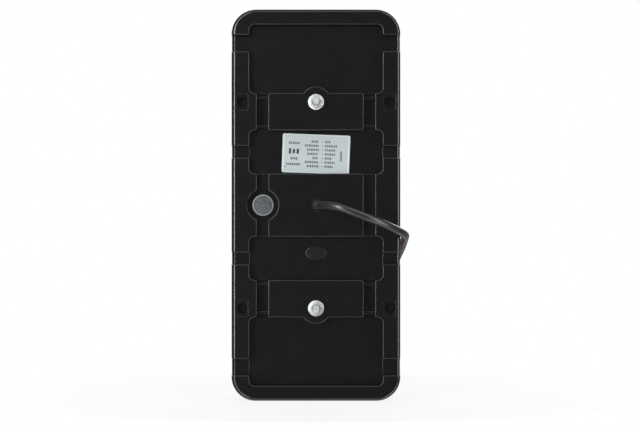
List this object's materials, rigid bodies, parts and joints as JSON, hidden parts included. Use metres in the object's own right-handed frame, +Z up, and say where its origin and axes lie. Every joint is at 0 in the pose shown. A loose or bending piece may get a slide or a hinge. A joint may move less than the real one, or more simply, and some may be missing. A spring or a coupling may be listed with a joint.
{
  "type": "vehicle rear combination lamp",
  "caption": "Slim upright LED rear lamp with coloured lens fields, a flat moulded back with cable channels, two threaded studs with nuts, a breather and a sheathed cable.",
  "frame": {"origin": "middle of the bottom of the lamp's box, measured without the cable; the lamp stands on its lower end", "axes": "+Z up along the lamp's length, -Y out of the mounting side along the studs, +Y out of the lens"},
  "size_m": [0.132, 0.1552, 0.289],
  "materials": {
    "black_housing": "satin moulded black plastic",
    "amber_lens": "transparent amber acrylic",
    "red_lens": "transparent red acrylic",
    "clear_lens": "clear acrylic",
    "metallised_plastic": "vacuum metallised plastic",
    "circuit_board": "green solder mask",
    "led_package": "moulded LED package",
    "component_black": "moulded component",
    "component_can": "drawn aluminium can",
    "zinc_steel": "bright zinc plated steel",
    "black_rubber": "black sealing rubber",
    "nylon": "black nylon",
    "cable_sheath": "black sheath",
    "grey_vent": "grey moulded plastic",
    "vent_membrane": "porous grey membrane",
    "pale_label": "pale matt film",
    "core_red": "coloured core insulation",
    "core_yellow": "coloured core insulation",
    "core_black": "coloured core insulation",
    "core_brown": "coloured core insulation",
    "core_blue": "coloured core insulation",
    "core_green": "coloured core insulation",
    "core_white": "coloured core insulation"
  },
  "bodies": {
    "lamp": {"housing": "black_housing", "lens_indicator": "amber_lens", "lens_stop_tail": "red_lens", "lens_reverse": "clear_lens", "lens_fog": "red_lens", "lens_gasket": "black_rubber", "reflex_reflector": "red_lens", "reflector_tray": "metallised_plastic", "led_board": "circuit_board", "board_screw_1": "zinc_steel", "board_screw_2": "zinc_steel", "board_screw_3": "zinc_steel", "board_screw_4": "zinc_steel", "wire_header": "component_black", "regulator_chip": "component_black", "driver_inductor": "component_black", "surge_capacitor": "component_can", "led_indicator_1": "led_package", "led_indicator_2": "led_package", "led_indicator_3": "led_package", "led_indicator_4": "led_package", "led_indicator_5": "led_package", "led_indicator_6": "led_package", "led_stop_tail_1": "led_package", "led_stop_tail_2": "led_package", "led_stop_tail_3": "led_package", "led_stop_tail_4": "led_package", "led_stop_tail_5": "led_package", "led_stop_tail_6": "led_package", "led_reverse_1": "led_package", "led_reverse_2": "led_package", "led_reverse_3": "led_package", "led_fog_1": "led_package", "led_fog_2": "led_package", "led_fog_3": "led_package", "cable_grommet": "black_rubber", "strain_relief_tie": "nylon", "cable_inner": "cable_sheath", "cable_free": "cable_sheath", "cable_coil": "cable_sheath", "cable_tie": "nylon", "core_red": "core_red", "core_yellow": "core_yellow", "core_black": "core_black", "core_brown": "core_brown", "core_blue": "core_blue", "core_green": "core_green", "core_white": "core_white", "vent_cap": "grey_vent", "vent_membrane": "vent_membrane", "rating_label": "pale_label", "upper_stud": "zinc_steel", "lower_stud": "zinc_steel", "upper_stud_seal": "black_rubber", "lower_stud_seal": "black_rubber"},
    "upper_washer": {"upper_washer": "zinc_steel"},
    "upper_nut": {"upper_nut": "zinc_steel"},
    "lower_washer": {"lower_washer": "zinc_steel"},
    "lower_nut": {"lower_nut": "zinc_steel"}
  },
  "joints": [
    {"name": "upper_washer_travel", "type": "slide", "parent": "lamp", "child": "upper_washer", "axis": [0, -1, 0], "range_m": [0, 0.014]},
    {"name": "upper_nut_spin", "type": "hinge", "parent": "upper_washer", "child": "upper_nut", "pos_m": [0, -0.01, 0.2205], "axis": [0, -1, 0], "range_deg": [0, 6301]},
    {"name": "lower_washer_travel", "type": "slide", "parent": "lamp", "child": "lower_washer", "axis": [0, -1, 0], "range_m": [0, 0.014]},
    {"name": "lower_nut_spin", "type": "hinge", "parent": "lower_washer", "child": "lower_nut", "pos_m": [0, -0.01, 0.0685], "axis": [0, -1, 0], "range_deg": [0, 6301]}
  ],
  "couplings": [
    {"joint": "upper_nut_spin", "follows": "upper_washer_travel", "rad_per_m": 7854},
    {"joint": "lower_nut_spin", "follows": "lower_washer_travel", "rad_per_m": 7854}
  ]
}
